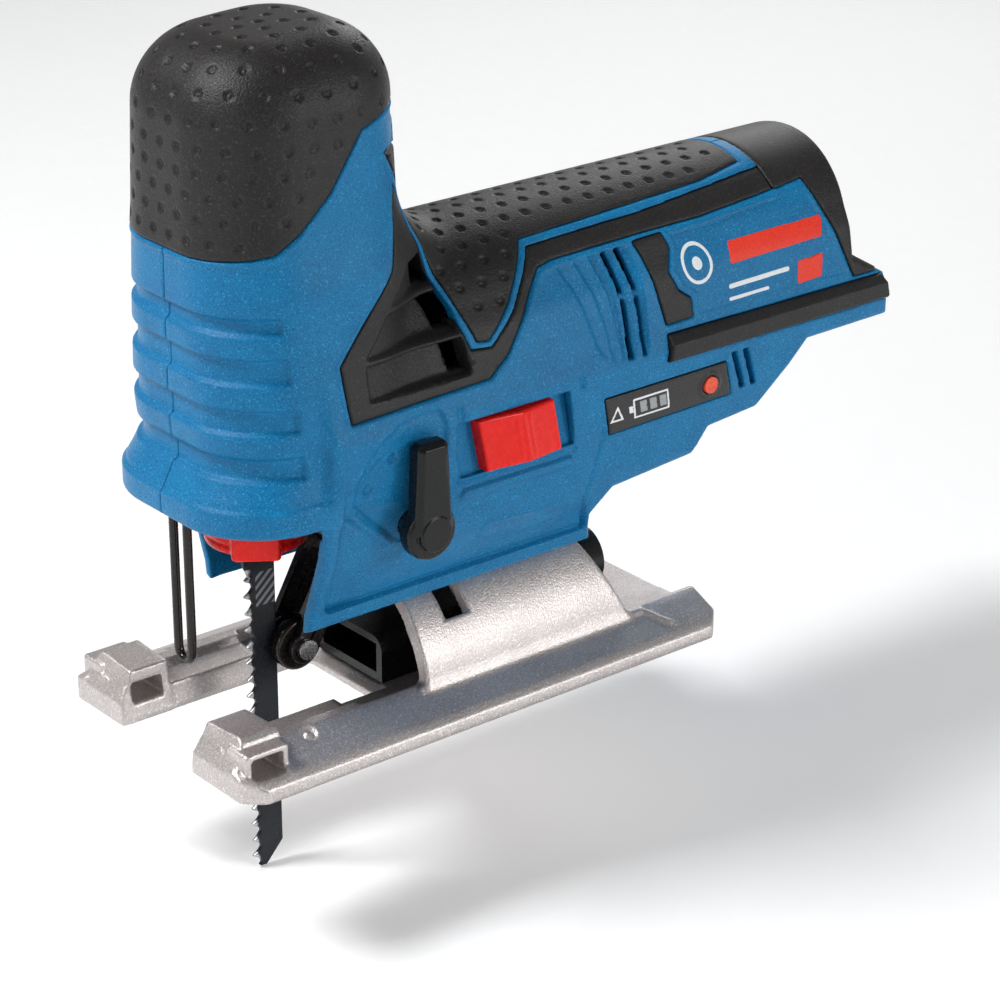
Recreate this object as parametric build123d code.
from build123d import *
import math
import os

# Cordless barrel-grip jigsaw, millimetres.
# Origin: centre of the sole's underside.  +X to the battery end, -X to the blade, +Z up,
# -Y is the side with the slide switch and the orbit lever.

# ---- driving dimensions ---------------------------------------------------------------
SOLE_LENGTH = 134.0
SOLE_WIDTH = 71.0
SLOT_HALF = 13.2            # half of the gap between the rails, at the underside
TILT_Z = 4.0                # height of the bevel axis
SADDLE_R = 27.0             # outside of the saddle that the housing tilts on
SADDLE_WALL = 3.2
SADDLE_X = (-13.0, 40.0)
SEAT_GAP = 0.3              # running gap between the saddle and the housing
BLADE_X = -39.0             # centre of the blade and of the plunger
BLADE_WIDTH = 8.0
BLADE_THICK = 1.2
BLADE_TIP_Z = -38.0
BLADE_TEETH_TOP_Z = 36.5
BLADE_TOP_Z = 61.0
TOOTH_PITCH = 4.0
STROKE = 18.0
HEAD_X = -34.4              # centre of the upright head
HEAD_BOTTOM_Z = 54.5
HEAD_TOP_Z = 156.3
HEAD_HALF = ((HEAD_BOTTOM_Z, 28.0), (75.0, 27.3), (97.0, 26.1), (118.0, 24.8), (138.0, 24.2),
             (HEAD_TOP_Z, 23.9))    # height, half-width
HEAD_CORNER = 19.0
HEAD_DOME = 17.0
MOTOR_Z = 80.5
BARREL_R = 25.0
BODY_FRONT_X = -39.5
WALL = 2.6
PAD_DEPTH = 1.4             # how deep the soft trims sit in the shell
PAD_PROUD = 0.3
GEAR_MODULE = 0.8
PINION_TEETH = 12
GEAR_TEETH = 48
GEAR_Z = MOTOR_Z + GEAR_MODULE * (PINION_TEETH + GEAR_TEETH) / 2 + 0.05
SWING_Z = 134.0             # pivot of the plunger's swing frame
FORK_PIVOT = (-17.5, 38.5)
ROLLER = (-31.1, 15.5)
LEVER = (-16.5, 48.5)       # orbit lever's shaft
SCREWS = ((-50, 108, 22.6), (-53, 76, 24.3), (-6, 51, 27.2), (30, 47, 26.2),
          (62, 49, 26.7), (84, 58, 28.5), (62, 97.5, 18.2))    # x, z, half-width there

# ---- small makers ---------------------------------------------------------------------


def block(x, y, z):
    """A box from three (low, high) pairs."""
    size = (x[1] - x[0], y[1] - y[0], z[1] - z[0])
    middle = ((x[0] + x[1]) / 2, (y[0] + y[1]) / 2, (z[0] + z[1]) / 2)
    return Pos(*middle) * Box(*size)


def rod_x(radius, x, y, z):
    """A cylinder along X from x[0] to x[1]."""
    return Pos((x[0] + x[1]) / 2, y, z) * Rot(0, 90, 0) * Cylinder(radius, x[1] - x[0])


def rod_y(radius, x, y, z):
    """A cylinder along Y from y[0] to y[1]."""
    return Pos(x, (y[0] + y[1]) / 2, z) * Rot(90, 0, 0) * Cylinder(radius, y[1] - y[0])


def rod_z(radius, x, y, z):
    """A cylinder along Z from z[0] to z[1]."""
    return Pos(x, y, (z[0] + z[1]) / 2) * Cylinder(radius, z[1] - z[0])


def side_plane(y):
    """A drawing plane seen from the -Y side, whose v is Z."""
    return Plane(origin=(0, y, 0), x_dir=(1, 0, 0), z_dir=(0, -1, 0))


def cross_plane(x):
    """A drawing plane seen from the rear, whose u is Y and v is Z."""
    return Plane(origin=(x, 0, 0), x_dir=(0, 1, 0), z_dir=(1, 0, 0))


def side_prism(points, y, grow=0.0):
    """An X-Z outline run along Y."""
    face = Polygon(*points, align=None)
    if grow:
        face = offset(face, grow)
    return extrude(side_plane(y[1]) * face, y[1] - y[0], dir=(0, -1, 0))


def cross_prism(points, x):
    """A Y-Z outline run along X."""
    return extrude(cross_plane(x[0]) * Polygon(*points, align=None), x[1] - x[0], dir=(1, 0, 0))


def plan_prism(points, z):
    """An X-Y outline run up Z."""
    return extrude(Pos(0, 0, z[0]) * Polygon(*points, align=None), z[1] - z[0], dir=(0, 0, 1))


def mirrored(points):
    """A Y-Z outline closed over the middle plane."""
    return list(points) + [(-y, z) for y, z in reversed(points)]


def soften(shape, radius, picked):
    """Round the picked edges, or leave the shape alone where the kernel can't."""
    try:
        return fillet(picked, radius)
    except Exception:
        print("left sharp:", radius, len(picked))
        return shape


# ---- outer form -----------------------------------------------------------------------

SECTION_CORE = ((20, 84), (25, 71), (24, 60), (21, 46), (15.4, 31), (13.5, 16))
SECTION_ROUND = 5.0
UNDERSIDE = ((BODY_FRONT_X, 26.6), (39.5, 24.5), (37.5, 34), (42, 39.8), (65, 42.2), (68.5, 48.6),
             (83, 50), (96.5, 64.2), (122.5, 64.6), (116.0, 106), (113.0, 130), (BODY_FRONT_X, 130))
FRONT_OPENING_X = -13.5
TILT_RELIEF = ((14, 20), (14, 24.93), (24.5, 28.97), (24.5, 20))   # clears the rails at 45 degrees


def head(grow):
    """The upright head: rounded squares lofted upward, with a domed top."""
    sections = []
    for z, half in HEAD_HALF:
        low = z == HEAD_HALF[0][0]
        high = z == HEAD_HALF[-1][0]
        level = z + (grow if high else 0) - (4.0 if low and grow < -2 else 0)
        side = 2 * (half + grow)
        sections.append(Pos(HEAD_X, 0, level) * RectangleRounded(side, side, HEAD_CORNER + grow))
    column = loft(sections)
    top = column.faces().sort_by(Axis.Z)[-1].edges()
    return soften(column, HEAD_DOME + grow, top)


def barrel_section(grow):
    """The handle's cross-section: round on top, spread to a corner, drawn in below."""
    round_top = Pos(0, MOTOR_Z) * Circle(BARREL_R + grow)
    core = Polygon(*mirrored(SECTION_CORE), align=None)
    return round_top + offset(core, SECTION_ROUND + grow)


def handle(grow, outline):
    """The handle and gear housing: the section run along X, cut to a side outline."""
    run = extrude(cross_plane(-70) * barrel_section(grow), 210, dir=(1, 0, 0))
    return run & side_prism(outline, (-45, 45))


def neck(grow):
    """The saddle-shaped filling between the head and the barrel."""
    outline = ((-25, 96), (-25, 132), (-12, 124), (-4, 114), (8, 107.5), (24, 105), (24, 96))
    half = 14.0
    return side_prism(outline, (-half - grow, half + grow), grow)


def saddle(radius, x):
    """A cylinder round the bevel axis."""
    return rod_x(radius, x, 0, TILT_Z)


def body(grow):
    """The whole outer form, grown or shrunk."""
    if grow >= 0:
        lower = handle(grow, UNDERSIDE)
    else:
        open_front = ((-70, 0), (FRONT_OPENING_X, 0), (FRONT_OPENING_X, 20), (37, 22), (34.8, 34),
                      (40.5, 42.4), (62.8, 44.8), (66.6, 51.2), (81.8, 52.6), (95.2, 66.8),
                      (135, 67.2), (135, 130), (-36, 130), (-36, 54), (-70, 54))
        lower = handle(grow, open_front) - saddle(SADDLE_R + SEAT_GAP - grow, (FRONT_OPENING_X, 60))
    return head(grow) + lower + neck(grow)


# ---- trims that are let into the shell --------------------------------------------------

CAP = ((-70, 118), (-52, 114.5), (-46, 116), (-29, 136), (-20, 141.5), (-4, 146), (-4, 170),
       (-70, 170))
TONGUE = ((2.5, 83.2), (5.5, 83.2), (14, 95), (17, 102), (40, 101), (88, 103.5), (104, 103.5),
          (104, 115), (-20, 125), (-14.5, 118), (-8.5, 105))
INSERT = ((-16.5, 121.5), (-18.5, 113), (-22, 106), (-34.5, 88), (-32.3, 75), (4.8, 76.2),
          (13.5, 88), (17.5, 104), (17, 112), (-10, 130))
COLLAR = ((97, 76), (104, 103.5), (104, 112), (125, 112), (125, 76))
STRIP = ((52.2, 69.0), (53.0, 75.8), (51.6, 86.7), (49.4, 95.8), (58.3, 96.2), (59.1, 92.7),
         (56.5, 88.2), (58.4, 84.0), (61.6, 81.7), (61.4, 75.8), (123, 75.2), (123, 69.0))
DISPLAY = ((34.3, 64.3), (71.0, 64.9), (73.6, 56.0), (36.5, 55.2))
LIGHT_BUTTON = (65.7, 60.6)
SLIDE_WINDOW = ((-7.6, 69.5), (24.0, 69.5), (26.5, 56.0), (-5.1, 56.0))


def pad(outer, inner, outline, y=(-45, 45)):
    """A trim: the skin between two outer forms, inside a side outline."""
    return (outer & side_prism(outline, y)) - inner


def screw_cuts():
    """Bosses, clearance holes, pilot holes and counterbores for the housing screws."""
    bosses, holes = [], []
    for x, z, half in SCREWS:
        bosses.append(rod_y(3.4, x, (1.0 - half, half - 1.0), z))
        holes.append(rod_y(1.45, x, (-10.0, 0.0), z) + rod_y(1.7, x, (0.0, 60.0), z))
        holes.append(rod_y(3.2, x, (half - 4.0, 60.0), z))
    return bosses, holes


def shell_and_trims():
    """Both housing halves in one, and every trim on them."""
    solid = body(0)
    proud = body(PAD_PROUD)
    deep = body(-PAD_DEPTH)
    hollow = body(-WALL)
    bosses, holes = screw_cuts()
    both = (-45, 45)
    left = (-45, 0)
    cap = pad(proud, deep, CAP)
    tongue = pad(proud, deep, TONGUE)
    inserts = pad(proud, deep, INSERT) - side_prism(TONGUE, both)
    collar = pad(proud, deep, COLLAR)
    strips = pad(proud, deep, STRIP) - holes
    display = pad(proud, deep, DISPLAY, left)
    shell = (solid - hollow) + [boss & solid for boss in bosses]
    shell = shell - saddle(SADDLE_R + SEAT_GAP, (-80, 60))
    for outline in (CAP, TONGUE, INSERT, COLLAR, STRIP):
        shell = shell - (side_prism(outline, both) - deep)
    shell = shell - (side_prism(DISPLAY, left) - deep)
    shell = shell - holes + bevel_boss()
    button_hole = rod_y(2.1, LIGHT_BUTTON[0], (-45, 0), LIGHT_BUTTON[1])
    lever_hole = rod_y(3.25, LEVER[0], (-45, -10), LEVER[1])
    pin_holes = rod_y(2.0, FORK_PIVOT[0], (-21.6, 21.6), FORK_PIVOT[1])
    bevel_hole = rod_z(BEVEL_SCREW_R, BEVEL_SLOT_X, 0, (20, 60))
    shell = shell - side_prism(SLIDE_WINDOW, left) - button_hole - lever_hole - pin_holes - bevel_hole
    for side in (-1, 1):
        shell = shell - cross_prism([(side * y, z) for y, z in TILT_RELIEF], (-60, 45))
    return shell, cap, tongue, inserts, collar, strips, display - button_hole


def bevel_boss():
    """Boss over the saddle that takes the bevel screw and its nut."""
    boss = block((BEVEL_SLOT_X - 6.5, BEVEL_SLOT_X + 6.5), (-6.5, 6.5), (29, 41))
    boss = boss - saddle(SADDLE_R + SEAT_GAP, (-80, 60))
    boss = boss - rod_z(BEVEL_SCREW_R, BEVEL_SLOT_X, 0, (20, 60))
    return boss - block((BEVEL_SLOT_X - 4, BEVEL_SLOT_X + 4), (-4, 4), (35, 38.4))


# ---- foot: cast sole with its saddle ----------------------------------------------------

RAIL = ((SLOT_HALF, 0), (SOLE_WIDTH / 2, 0), (SOLE_WIDTH / 2, 2.8), (33.6, 4.4), (24.6, 8.4), (21.6, 8.4), (20.6, 6.2),
        (14.2, 6.2))
FENCE_BLOCK = ((SLOT_HALF, 0), (33.6, 0), (33.6, 4.4), (25.4, 11.2), (22.4, 12.4), (14.9, 11.3))
FENCE_SLOT_X = (-63.5, -55.5)
FENCE_SLOT_Z = (4.6, 9.0)
SOLE_FRONT = -SOLE_LENGTH / 2
SOLE_REAR = SOLE_LENGTH / 2
WEB_X = (-17.0, SOLE_REAR)
WEB_Z = 4.0
BEVEL_SLOT_X = -1.0
BEVEL_SLOT_HALF_ANGLE = 53.0
BEVEL_SCREW_R = 2.5


def rail(side):
    """One rail, with its raised fence block at the front and a chamfered rear corner."""
    run = cross_prism([(side * y, z) for y, z in RAIL], (SOLE_FRONT + 1.5, SOLE_REAR))
    front = cross_prism([(side * y, z) for y, z in FENCE_BLOCK], (SOLE_FRONT, -53.5))
    nose = side_prism(((-70, 5), (SOLE_FRONT, 5), (-61.5, 14), (-70, 14)), (-50, 50))
    heel = side_prism(((-56.5, 14), (-51.5, 6.2), (-50, 14)), (-50, 50))
    fence = block(FENCE_SLOT_X, sorted((side * 10, side * 40)), FENCE_SLOT_Z)
    corner = plan_prism(((SOLE_REAR - 9, side * 35.6), (SOLE_REAR + 1, side * 25.6),
                         (SOLE_REAR + 1, side * 36)), (-1, 14))
    toe = plan_prism(((SOLE_FRONT - 1, side * 30.5), (SOLE_FRONT + 5.5, side * 36),
                      (SOLE_FRONT - 1, side * 36)), (-1, 14))
    shape = run + (front - nose - heel)
    return shape - fence - corner - toe


def foot_plate():
    """Both rails, the web between them and the half-round saddle, in one casting."""
    web = block(WEB_X, (-22, 22), (0, WEB_Z))
    toe = side_prism(((WEB_X[0] - 1, 1.4), (WEB_X[0] + 5, WEB_Z + 1), (WEB_X[0] - 1, WEB_Z + 1)), (-30, 30))
    shell = saddle(SADDLE_R, (SADDLE_X[0], 48)) - saddle(SADDLE_R - SADDLE_WALL, (-30, 60))
    shell = shell & block((-30, 60), (-30, 30), (0.5, 40))
    rear_cut = side_prism(((48.5, 0), (35.0, 32), (60, 40), (60, 0)), (-40, 40))
    front_cut = side_prism(((SADDLE_X[0] - 5, 34), (SADDLE_X[0] + 2.5, 34), (SADDLE_X[0], 18),
                            (SADDLE_X[0] - 5, 18)), (-40, 40))
    feet = []
    for side in (-1, 1):
        foot = cross_prism([(side * y, z) for y, z in ((20, 0), (20, 16), (24.2, 13), (26.4, 9.5),
                                                       (27, 6), (31, 4), (31, 0))], (-13, 46))
        feet.append(foot - saddle(SADDLE_R - SADDLE_WALL, (-30, 60)) - rear_cut)
    slot = bevel_slot(BEVEL_SCREW_R + 0.8)
    lugs = [block((50, 60), sorted((side * 12, side * 15.5)), (0, 9.5)) for side in (-1, 1)]
    lug_top = side_prism(((49, 10), (53, 10), (60.5, 4), (61, 12), (49, 12)), (-30, 30))
    plate = rail(-1) + rail(1) + (web - toe)
    plate = plate + (shell - rear_cut - front_cut) + feet
    plate = plate + [lug - lug_top for lug in lugs]
    return plate - slot


def bevel_slot(radius):
    """The slot round the saddle's crown that the bevel screw moves in."""
    fan = [(0.0, TILT_Z)]
    for step in range(-4, 5):
        angle = math.radians(step * BEVEL_SLOT_HALF_ANGLE / 4)
        fan.append((40 * math.sin(angle), TILT_Z + 40 * math.cos(angle)))
    wedge = cross_prism(fan, (BEVEL_SLOT_X - radius, BEVEL_SLOT_X + radius))
    return wedge - saddle(15, (-40, 40))


SPIGOT_R = 7.4
SPIGOT_BORE_R = 5.6
SPIGOT_Z = 11.8
SPIGOT_END_X = 54.0


def dust_duct():
    """Suction duct under the saddle, flat in front and round at the rear spigot."""
    flat = block((-15, 40), (-12, 12), (WEB_Z + 0.2, 15))
    flat = soften(flat, 3.5, flat.edges().filter_by(Axis.X).group_by(Axis.Z)[-1])
    spigot = rod_x(SPIGOT_R, (36, SPIGOT_END_X), 0, SPIGOT_Z)
    inside = block((-20, 39), (-10, 10), (6.2, 13.2))
    inside = inside + rod_x(SPIGOT_BORE_R, (38, 60), 0, SPIGOT_Z)
    return flat + spigot - inside


def bevel_clamp():
    """Curved clamp plate inside the saddle, its socket screw and the nut it pulls on."""
    inner = SADDLE_R - SADDLE_WALL - SEAT_GAP
    plate = saddle(inner, (-11, 9)) - saddle(inner - 3, (-12, 10))
    plate = plate & block((-12, 10), (-6, 6), (10, 40))
    plate = plate - rod_z(BEVEL_SCREW_R, BEVEL_SLOT_X, 0, (10, 40))
    seat_z = TILT_Z + inner - 3
    head_z = (seat_z - 5.2, seat_z - 0.6)
    screw = rod_z(BEVEL_SCREW_R, BEVEL_SLOT_X, 0, (head_z[1], 39))
    socket = Pos(BEVEL_SLOT_X, 0, head_z[0]) * extrude(RegularPolygon(2.3, 6), 3)
    screw = screw + rod_z(4.4, BEVEL_SLOT_X, 0, head_z) - socket
    nut = block((BEVEL_SLOT_X - 4, BEVEL_SLOT_X + 4), (-4, 4), (35, 38.4))
    nut = nut - rod_z(BEVEL_SCREW_R, BEVEL_SLOT_X, 0, (20, 60))
    return plate, screw, nut


# ---- blade, plunger and its swing frame -------------------------------------------------

BAR_R = 4.0
YOKE_X = (-34.6, -30.8)
CRANK_PIN_R = 3.0
FRAME_Y = (15.0, 17.2)
CLAMP_Z = (44.0, 62.0)
RING_Z = (42.5, 51.0)


def blade():
    """T-shank saw blade: forward-set teeth on a tapering back, with a bayonet shank."""
    back = BLADE_X + BLADE_WIDTH / 2
    front = BLADE_X - BLADE_WIDTH / 2
    outline = [(back, BLADE_TEETH_TOP_Z + 2), (back, BLADE_TIP_Z + 5), (back - 4.5, BLADE_TIP_Z)]
    teeth = int((BLADE_TEETH_TOP_Z - BLADE_TIP_Z) / TOOTH_PITCH)
    for tooth in range(teeth):
        z = BLADE_TIP_Z + tooth * TOOTH_PITCH
        outline += [(front + 2.0, z + 0.2), (front, z + 2.9), (front + 0.9, z + 3.2)]
    shank = 2.9
    outline += [(front, BLADE_TEETH_TOP_Z), (front, BLADE_TEETH_TOP_Z + 2),
                (BLADE_X - shank, BLADE_TEETH_TOP_Z + 5), (BLADE_X - shank, BLADE_TOP_Z - 9),
                (BLADE_X - 3.9, BLADE_TOP_Z - 8), (BLADE_X - 3.9, BLADE_TOP_Z - 5.5),
                (BLADE_X - shank, BLADE_TOP_Z - 4.5), (BLADE_X - 1.5, BLADE_TOP_Z),
                (BLADE_X + 1.5, BLADE_TOP_Z), (BLADE_X + shank, BLADE_TOP_Z - 4.5),
                (BLADE_X + 3.9, BLADE_TOP_Z - 5.5), (BLADE_X + 3.9, BLADE_TOP_Z - 8),
                (BLADE_X + shank, BLADE_TOP_Z - 9), (BLADE_X + shank, BLADE_TEETH_TOP_Z + 5)]
    return side_prism(outline, (-BLADE_THICK / 2, BLADE_THICK / 2))


def plunger_bar():
    """Round reciprocating bar between its two bushes."""
    return rod_z(BAR_R, BLADE_X, 0, (CLAMP_Z[1], 128.0))


def yoke():
    """Cross-slotted plate that the crank pin drives, clipped round the bar."""
    plate = block(YOKE_X, (-14, 14), (GEAR_Z - 6.2, GEAR_Z + 6.2))
    slot_r = CRANK_PIN_R + 0.4
    slot = block((-60, 0), (-9, 9), (GEAR_Z - slot_r, GEAR_Z + slot_r))
    for y in (-9, 9):
        slot = slot + rod_x(slot_r, (-60, 0), y, GEAR_Z)
    collars = []
    for z in (GEAR_Z - 5.4, GEAR_Z + 5.4):
        collars.append(rod_z(6, BLADE_X, 0, (z - 0.8, z + 0.8)) - rod_z(BAR_R, BLADE_X, 0, (0, 200)))
    return (plate - slot) + collars


def blade_clamp():
    """Slotted clamp sleeve that holds the shank at the bar's lower end."""
    sleeve = rod_z(6.6, BLADE_X, 0, CLAMP_Z)
    sleeve = sleeve + rod_z(7.6, BLADE_X, 0, (RING_Z[1] + 0.3, RING_Z[1] + 2.3))
    sleeve = sleeve + rod_z(7.6, BLADE_X, 0, (40.8, RING_Z[0] - 0.3)) + rod_z(6.6, BLADE_X, 0, (41, 45))
    slot = block((BLADE_X - 4.3, BLADE_X + 4.3), (-0.65, 0.65), (30, BLADE_TOP_Z + 0.2))
    return sleeve - slot


def release_lever():
    """Red ring lever that opens the clamp, with a thumb tab to the front left."""
    ring = rod_z(11.4, BLADE_X, 0, RING_Z)
    tab = block((-14.5, 0), (-5.5, 5.5), RING_Z)
    tab = Pos(BLADE_X, 0, 0) * Rot(0, 0, 55) * tab
    shape = ring + tab
    shape = soften(shape, 0.8, shape.edges().filter_by(GeomType.LINE, reverse=True))
    return shape - rod_z(6.66, BLADE_X, 0, (30, 70))


def swing_frame():
    """Frame that guides the plunger and swings forward for orbital action."""
    lower_z = (73.0, 80.0)
    upper_z = (129.0, 138.0)
    x = (BLADE_X - 5.5, BLADE_X + 4.0)
    sides = block(x, FRAME_Y, (lower_z[0], upper_z[1])) + block(x, (-FRAME_Y[1], -FRAME_Y[0]),
                                                               (lower_z[0], upper_z[1]))
    deep_x = (BLADE_X - 7.5, BLADE_X + 7.5)
    bridges = [block(deep_x, (-FRAME_Y[1], FRAME_Y[1]), z) for z in (lower_z, (130, upper_z[1]))]
    pins = [rod_y(2.0, BLADE_X, (FRAME_Y[0], 20), SWING_Z), rod_y(2.0, BLADE_X, (-20, -FRAME_Y[0]), SWING_Z)]
    frame = sides + bridges + pins
    return frame - rod_z(5.6, BLADE_X, 0, (60, 150))


def plunger_bushes():
    """Two sintered bushes pressed into the swing frame."""
    rings = []
    for z in ((73.0, 80.0), (130.0, 138.0)):
        rings.append(rod_z(5.6, BLADE_X, 0, z) - rod_z(BAR_R + 0.03, BLADE_X, 0, z))
    return rings


def swing_bushes():
    """Housing bushes for the swing frame's pins."""
    rings = []
    for side in (-1, 1):
        span = sorted((side * 17.8, side * 20.6))
        rings.append(rod_y(3.6, BLADE_X, span, SWING_Z) - rod_y(2.05, BLADE_X, span, SWING_Z))
    return rings


# ---- guide roller and its fork -----------------------------------------------------------

ROLLER_R = 6.0
ROLLER_GROOVE_R = 3.6
ARM_Y = (4.2, 6.0)
ROLLER_PIN_R = 1.6


def roller_fork():
    """Two arms from the pivot down to the roller, joined by a hub, with a tail to the cam."""
    px, pz = FORK_PIVOT
    rx, rz = ROLLER
    arms = []
    for side in (-1, 1):
        span = sorted((side * ARM_Y[0], side * ARM_Y[1]))
        arm = side_prism(((px - 3.2, pz + 1.5), (px + 3.2, pz - 1.0), (rx + 3.4, rz - 1.0),
                          (rx - 1.5, rz + 3.2)), span)
        arm = arm + rod_y(4.0, px, span, pz) + rod_y(3.6, rx, span, rz)
        arms.append(arm)
    hub = rod_y(4.0, px, (-ARM_Y[1], ARM_Y[1]), pz)
    tail = side_prism(((px - 3.8, pz), (px - 0.6, pz), (px - 4.6, pz + 13.5), (px - 6.4, pz + 13.5)),
                      (-5.5, -0.5))
    fork = arms[0] + arms[1] + hub + tail
    return fork - rod_y(2.04, px, (-20, 20), pz) - rod_y(ROLLER_PIN_R, rx, (-20, 20), rz)


def roller_pin():
    """Headed pin through the fork's arms."""
    x, z = ROLLER
    return rod_y(ROLLER_PIN_R, x, (-6.9, 6.4), z) + rod_y(2.3, x, (-7.2, -6.0), z)


def guide_roller():
    """Grooved roller that the blade's back runs in."""
    x, z = ROLLER
    roller = rod_y(ROLLER_R, x, (-3.9, 3.9), z)
    roller = soften(roller, 0.8, roller.edges().filter_by(GeomType.CIRCLE))
    groove = rod_y(ROLLER_R + 1, x, (-1.0, 1.0), z) - rod_y(ROLLER_GROOVE_R, x, (-1.0, 1.0), z)
    return roller - groove - rod_y(ROLLER_PIN_R + 0.05, x, (-9, 9), z)


def wire_guard():
    """Bent wire in front of the blade, held up inside the skirt."""
    x, wire_r, half = -58.3, 1.0, 2.6
    legs = [rod_z(wire_r, x, side * half, (19.1 + half, 68)) for side in (-1, 1)]
    bend = Pos(x, 0, 19.1 + half) * Rot(0, 90, 0) * Torus(half, wire_r)
    bend = bend & block((x - 5, x + 5), (-9, 9), (0, 19.1 + half))
    return legs[0] + legs[1] + bend


# ---- gear train ---------------------------------------------------------------------------


def gear_outline(teeth, backlash, turn):
    """Points round an involute spur gear with short teeth, for the cross plane."""
    pitch_r = GEAR_MODULE * teeth / 2
    base_r = pitch_r * math.cos(math.radians(20))
    tip_r = pitch_r + 0.75 * GEAR_MODULE
    root_r = pitch_r - 1.0 * GEAR_MODULE
    half_tooth = math.pi / (2 * teeth) - backlash / (2 * pitch_r)
    pitch_roll = math.tan(math.radians(20)) - math.radians(20)
    flank = []
    for step in range(4):
        r = max(base_r, root_r + 0.15) + (tip_r - max(base_r, root_r + 0.15)) * step / 3
        pressure = math.acos(min(1.0, base_r / r))
        flank.append((r, half_tooth + pitch_roll - (math.tan(pressure) - pressure)))
    flank = [(root_r, flank[0][1] + 0.02)] + flank
    points = []
    for tooth in range(teeth):
        middle = turn + 2 * math.pi * tooth / teeth
        for r, angle in flank:
            points.append((r * math.cos(middle - angle), r * math.sin(middle - angle)))
        for r, angle in reversed(flank):
            points.append((r * math.cos(middle + angle), r * math.sin(middle + angle)))
    return points


GEAR_X = (-29.0, -23.0)
PINION_X = (-29.5, -22.5)
SHAFT_R = 2.5


def drive_gear():
    """Spur gear with a balance weight opposite the crank pin."""
    points = [(y, z + GEAR_Z) for y, z in gear_outline(GEAR_TEETH, 0.10, 0.0)]
    gear = cross_prism(points, GEAR_X)
    for angle in (-60, -100, 100, 60):
        y = 12.5 * math.cos(math.radians(angle)) + (2 if abs(angle) > 90 else 0)
        gear = gear - rod_x(3.1, (-40, 0), y, GEAR_Z + 12.5 * math.sin(math.radians(angle)))
    gear = gear - rod_x(4.0, (-40, 0), 0, GEAR_Z)
    return gear - rod_x(CRANK_PIN_R, (-40, 0), STROKE / 2, GEAR_Z)


def counterweight():
    """Half-moon weight riveted behind the gear, opposite the pin."""
    moon = rod_x(18.0, (GEAR_X[1], GEAR_X[1] + 1.8), 0, GEAR_Z)
    moon = moon & block((-60, 60), (-30, -6), (0, 200))
    return moon


def crank_pin():
    """Pin on the gear's face.  It ends a running gap short of the yoke, because the gear and the
    plunger turn and slide as joints of their own."""
    return rod_x(CRANK_PIN_R, (YOKE_X[1] + 0.3, GEAR_X[1]), STROKE / 2, GEAR_Z)


def gear_axle():
    return rod_x(4.0, (GEAR_X[0], -10.0), 0, GEAR_Z) + rod_x(4.9, (-20.6, -20.2), 0, GEAR_Z)


def gear_bush():
    return rod_x(6.0, (-20.0, -12.5), 0, GEAR_Z) - rod_x(4.04, (-20, -12.5), 0, GEAR_Z)


def gear_case():
    """Cast bearing plate between the gears and the motor."""
    plate = rod_x(20.0, (-20.0, -14.5), 0, MOTOR_Z) + rod_x(8.6, (-20.0, -12.5), 0, GEAR_Z)
    plate = plate + block((-20.0, -14.5), (-8.6, 8.6), (MOTOR_Z, GEAR_Z))
    plate = plate - rod_x(8.0, (-30, 0), 0, MOTOR_Z) - rod_x(6.0, (-30, 0), 0, GEAR_Z)
    for side in (-1, 1):
        plate = plate - rod_x(2.2, (-30, 0), side * 14.0, MOTOR_Z - 8)
    return plate


def ball_bearing(x, outer, inner):
    """A ball bearing on the motor's axis: outer ring with a shield, and the inner ring."""
    ring = rod_x(outer, x, 0, MOTOR_Z) - rod_x(inner + 0.06, x, 0, MOTOR_Z)
    dish = rod_x(outer - 1.3, (x[0], x[0] + 0.4), 0, MOTOR_Z) - rod_x(inner + 1.2, (x[0], x[0] + 0.4), 0, MOTOR_Z)
    return ring - dish


# ---- motor ----------------------------------------------------------------------------------

CAN_X = (-3.0, 47.0)
CAN_R = 18.0
FAN_X = (-12.0, -5.0)
CORE_X = (4.0, 33.0)
COMMUTATOR_X = (40.0, 47.5)
REAR_BEARING_X = (52.5, 56.0)


def armature_shaft():
    return rod_x(SHAFT_R, (PINION_X[0] - 1.0, 56.5), 0, MOTOR_Z)


def pinion():
    turn = math.radians(15)
    points = [(y, z + MOTOR_Z) for y, z in gear_outline(PINION_TEETH, 0.10, turn)]
    return cross_prism(points, PINION_X) - rod_x(SHAFT_R, (-50, 0), 0, MOTOR_Z)


def cooling_fan():
    """Radial fan: a disc, a hub and twelve blades."""
    fan = rod_x(17.0, (FAN_X[1] - 1.5, FAN_X[1]), 0, MOTOR_Z) + rod_x(5.0, FAN_X, 0, MOTOR_Z)
    for step in range(12):
        vane = block(FAN_X, (7.5, 16.8), (-0.6, 0.6))
        fan = fan + Pos(0, 0, MOTOR_Z) * Rot(30 * step, 0, 0) * vane
    return fan - rod_x(SHAFT_R, (-30, 30), 0, MOTOR_Z)


def armature_core():
    """Laminated core with its slots."""
    core = rod_x(13.4, CORE_X, 0, MOTOR_Z)
    for step in range(7):
        slot = block((CORE_X[0] - 1, CORE_X[1] + 1), (6.5, 14.5), (-1.1, 1.1))
        core = core - Pos(0, 0, MOTOR_Z) * Rot(360 / 7 * step, 0, 0) * slot
    return core - rod_x(SHAFT_R, (-30, 60), 0, MOTOR_Z)


def windings():
    """Copper coil ends at both ends of the core."""
    ends = []
    for x in ((CORE_X[0] - 5, CORE_X[0]), (CORE_X[1], CORE_X[1] + 5)):
        ends.append(rod_x(11.5, x, 0, MOTOR_Z) - rod_x(SHAFT_R, x, 0, MOTOR_Z))
    return ends


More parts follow.
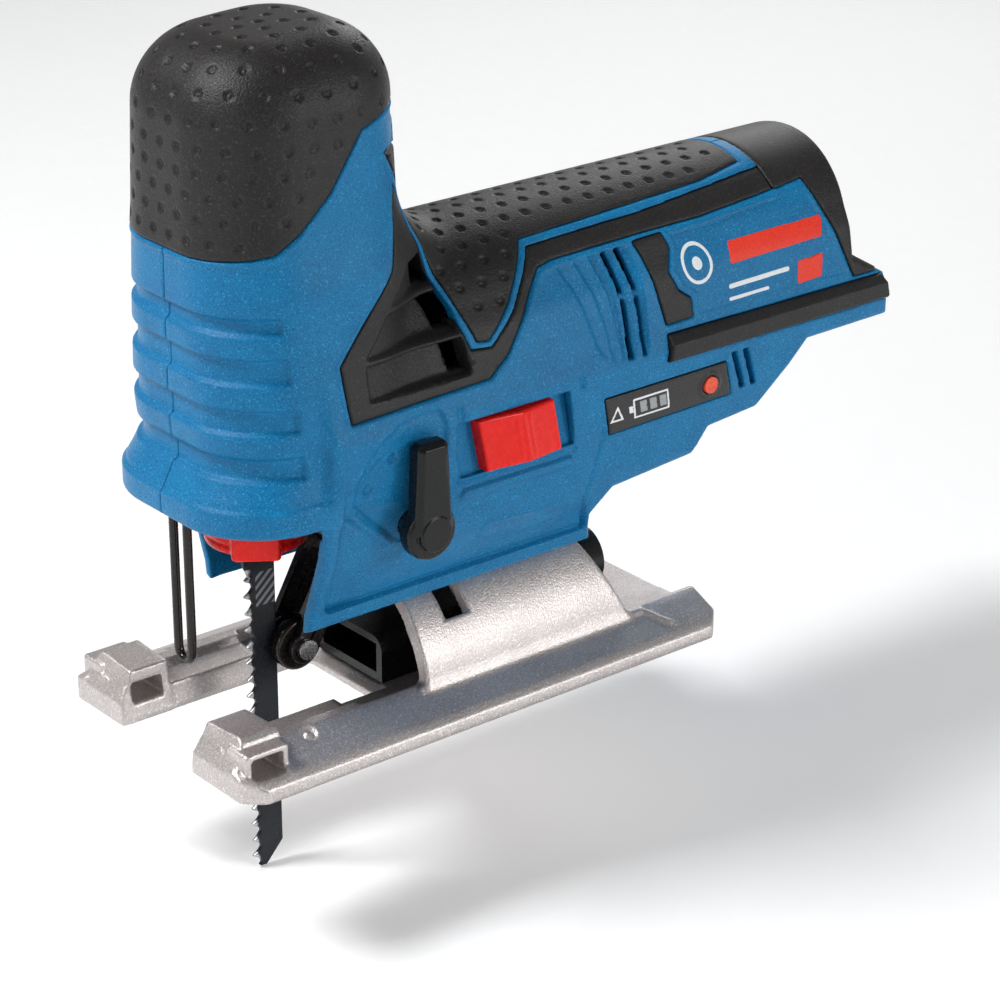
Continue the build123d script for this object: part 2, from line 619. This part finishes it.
def commutator():
    segments = rod_x(6.0, COMMUTATOR_X, 0, MOTOR_Z)
    for step in range(14):
        cut = block((COMMUTATOR_X[0] + 0.8, 60), (5.2, 6.5), (-0.15, 0.15))
        segments = segments - Pos(0, 0, MOTOR_Z) * Rot(360 / 14 * step, 0, 0) * cut
    return segments - rod_x(SHAFT_R, (0, 90), 0, MOTOR_Z)


def motor_can():
    """Drawn steel can with its front flange and vent holes."""
    can = rod_x(CAN_R, CAN_X, 0, MOTOR_Z) - rod_x(CAN_R - 1.2, (CAN_X[0] + 1.5, 60), 0, MOTOR_Z)
    can = can - rod_x(6.0, (-10, 10), 0, MOTOR_Z)
    for step in range(4):
        hole = rod_x(3.0, (-6, 0), 11.0, 0)
        can = can - Pos(0, 0, MOTOR_Z) * Rot(90 * step + 45, 0, 0) * hole
    return can


def magnets():
    """Two arc magnets inside the can."""
    tube = rod_x(CAN_R - 1.2, CORE_X, 0, MOTOR_Z) - rod_x(14.0, CORE_X, 0, MOTOR_Z)
    arcs = []
    for side in (-1, 1):
        arcs.append(tube & block((-90, 90), sorted((side * 5.5, side * 30)), (0, 200)))
    return arcs


def brush_cap():
    """Rear end cap that carries the brushes and the rear bearing."""
    cap = rod_x(CAN_R, (CAN_X[1], 58.0), 0, MOTOR_Z) - rod_x(CAN_R - 2.4, (CAN_X[1] - 1, 51.0), 0, MOTOR_Z)
    for side in (-1, 1):
        cap = cap + block((41, 52), sorted((side * 14.6, side * 16.3)), (MOTOR_Z - 3, MOTOR_Z + 3))
    cap = cap - rod_x(4.6, (40, 52.5), 0, MOTOR_Z) - rod_x(6.5, (52.5, 56.0), 0, MOTOR_Z)
    return cap - rod_x(3.2, (50, 70), 0, MOTOR_Z)


def brushes():
    """Two carbon brushes in their brass tubes."""
    pairs = []
    for side in (-1, 1):
        pairs.append(block((41.5, 46.0), sorted((side * 6.2, side * 14.5)), (MOTOR_Z - 2, MOTOR_Z + 2)))
    return pairs


# ---- controls and electrics -----------------------------------------------------------------


def orbit_lever():
    """Rotary selector: a round hub with a ribbed pointer arm standing clear of the housing."""
    x, z = LEVER
    hub = rod_y(6.3, x, (-34.4, -28.9), z)
    arm = side_prism(((x - 4.4, z), (x - 3.4, z + 21), (x + 3.4, z + 21), (x + 4.4, z)), (-34.4, -30.7))
    shape = hub + arm
    edges = shape.edges().filter_by_position(Axis.Y, -34.5, -34.3)
    shape = soften(shape, 1.0, edges)
    grooves = [block((x - 2.4, x + 2.4), (-35, -34.0), (z + h, z + h + 1.2)) for h in (11, 14, 17)]
    return shape - grooves - rod_y(3.0, x, (-30.4, 0), z)


def orbit_shaft():
    """Shaft through the housing wall, with the cam that limits the roller fork."""
    x, z = LEVER
    shaft = rod_y(3.0, x, (-30.4, -0.5), z)
    cam = rod_y(3.6, x + 0.5, (-5.5, -0.5), z)
    return shaft + cam


def switch_slider():
    """Red slide with finger ribs, its inner flange and the peg that works the switch."""
    low, high = 56.6, 68.9
    slab = side_prism(((-1.8, high), (19.2, high), (21.6, low), (0.8, low)), (-31.4, -24.4))
    face = slab.edges().filter_by_position(Axis.Y, -31.5, -31.3)
    slab = soften(slab, 0.8, face)
    for step in range(4):
        x = 3.0 + 3.2 * step
        rib = side_prism(((x, high - 2.5), (x + 1.3, high - 2.5), (x + 3.2, low + 2.5),
                          (x + 1.9, low + 2.5)), (-32.2, -31.0))
        slab = slab + rib
    flange = block((-9.5, 31.0), (-25.2, -24.4), (55.5, 70.0))
    peg = block((5, 10), (-24.4, -22.2), (58, 61))
    return slab + flange + peg


def switch_block():
    """The trigger switch's body, with a slot for the slide's peg."""
    body_block = block((1, 25), (-21.9, -7), (43, 61.5))
    return body_block - block((-1, 14), (-22.5, -20.5), (57, 61.6))


def light_button():
    """Round push button for the work light."""
    x, z = LIGHT_BUTTON
    return rod_y(1.95, x, (-29.9, -24.9), z) + rod_y(2.7, x, (-25.6, -24.9), z)


def display_board():
    """Upright board behind the display, with its push switch and level lamps."""
    x, z = LIGHT_BUTTON
    board = block((36, 72), (-22.4, -21.0), (55.6, 66.0))
    lamps = [block((step, step + 2.2), (-23.6, -22.4), (58.6, 62.4)) for step in (44, 49, 54)]
    return board + lamps + block((x - 2.5, x + 2.5), (-24.1, -22.4), (z - 2.5, z + 2.5))


def circuit_board():
    """Main board under the motor, with its power transistors and capacitor."""
    board = block((32, 74), (-18, 18), (53.6, 55.2))
    chips = [block((x, x + 6), (y, y + 8), (55.2, 57.6)) for x in (36, 46) for y in (-14, 4)]
    return board + chips + rod_z(4.0, 64, 0, (55.2, 62.0))


def terminal_block():
    """Bulkhead at the bottom of the battery socket, with the shelf for the contacts."""
    wall = rod_x(22.0, (70.0, 72.5), 0, MOTOR_Z) - block((60, 80), (-30, 30), (40, 62.5))
    shelf = block((72.5, 83.0), (-11, 11), (65.5, 68.5))
    return wall + shelf


def battery_contacts():
    """Four contact blades on the shelf."""
    return [block((74, 82), (y - 0.4, y + 0.4), (68.5, 75.5)) for y in (-7.5, -2.5, 2.5, 7.5)]


def work_light():
    """Lamp in its holder, aimed past the roller at the cut."""
    lamp = rod_x(2.5, (-25.0, -21.0), -13, 45)
    lens = Pos(-25.0, -13, 45) * Sphere(2.5)
    lens = lens & block((-30, -25), (-20, -5), (40, 50))
    arm = block((-23.4, -21.0), (-22.6, -13), (43.8, 46.2))
    return lamp + lens + arm


def housing_screws():
    """Cylinder-head screws from the right-hand side."""
    screws = []
    for x, z, half in SCREWS:
        screw = rod_y(1.45, x, (-9.6, half - 4.0), z) + rod_y(3.0, x, (half - 4.0, half - 1.8), z)
        drive = extrude(side_plane(half - 3.0) * Pos(x, z) * RegularPolygon(1.5, 6), 3, dir=(0, 1, 0))
        screws.append(screw - drive)
    return screws


# ---- writing ------------------------------------------------------------------------------------


def as_one(shape):
    """A part, a group of parts or a list of them, as one exportable shape."""
    if isinstance(shape, (list, tuple, ShapeList)):
        solids = []
        for piece in shape:
            solids += piece.solids()
        return solids[0] if len(solids) == 1 else Compound(children=solids)
    solids = shape.solids()
    return solids[0] if len(solids) == 1 else Compound(children=list(solids))


def model():
    """Every node by name."""
    shell, cap, tongue, inserts, collar, strips, display = shell_and_trims()
    plate, screw, nut = bevel_clamp()
    left = block((-80, 140), (-60, 0), (0, 200))
    right = block((-80, 140), (0, 60), (0, 200))
    nodes = {
        "foot_plate": foot_plate(),
        "dust_duct": dust_duct(),
        "housing_left": shell & left,
        "housing_right": shell & right,
        "head_grip": cap,
        "barrel_grip": tongue,
        "vent_insert_left": inserts & left,
        "vent_insert_right": inserts & right,
        "rear_collar": collar,
        "bumper_strip_left": strips & left,
        "bumper_strip_right": strips & right,
        "display_panel": display,
        "light_button": light_button(),
        "display_board": display_board(),
        "circuit_board": circuit_board(),
        "terminal_block": terminal_block(),
        "battery_contacts": battery_contacts(),
        "work_light": work_light(),
        "switch_slider": switch_slider(),
        "switch_block": switch_block(),
        "orbit_lever": orbit_lever(),
        "orbit_shaft": orbit_shaft(),
        "housing_screws": housing_screws(),
        "bevel_clamp_plate": plate,
        "bevel_screw": screw,
        "bevel_nut": nut,
        "wire_guard": wire_guard(),
        "motor_can": motor_can(),
        "magnets": magnets(),
        "brush_cap": brush_cap(),
        "brushes": brushes(),
        "armature_shaft": armature_shaft(),
        "armature_core": armature_core(),
        "windings": windings(),
        "commutator": commutator(),
        "cooling_fan": cooling_fan(),
        "pinion": pinion(),
        "front_bearing": ball_bearing((-20.0, -15.0), 8.0, SHAFT_R),
        "rear_bearing": ball_bearing(REAR_BEARING_X, 6.5, SHAFT_R),
        "gear_case": gear_case(),
        "gear_bush": gear_bush(),
        "gear_axle": gear_axle(),
        "drive_gear": drive_gear(),
        "counterweight": counterweight(),
        "crank_pin": crank_pin(),
        "swing_frame": swing_frame(),
        "swing_bushes": swing_bushes(),
        "plunger_bushes": plunger_bushes(),
        "plunger_bar": plunger_bar(),
        "yoke": yoke(),
        "blade_clamp": blade_clamp(),
        "release_lever": release_lever(),
        "blade": blade(),
        "roller_fork": roller_fork(),
        "fork_pivot_pin": rod_y(1.98, FORK_PIVOT[0], (-21.4, 21.4), FORK_PIVOT[1]),
        "roller_pin": roller_pin(),
        "guide_roller": guide_roller(),
    }
    return nodes


os.makedirs("parts", exist_ok=True)
for name, shape in model().items():
    export_step(as_one(shape), f"parts/{name}.step")
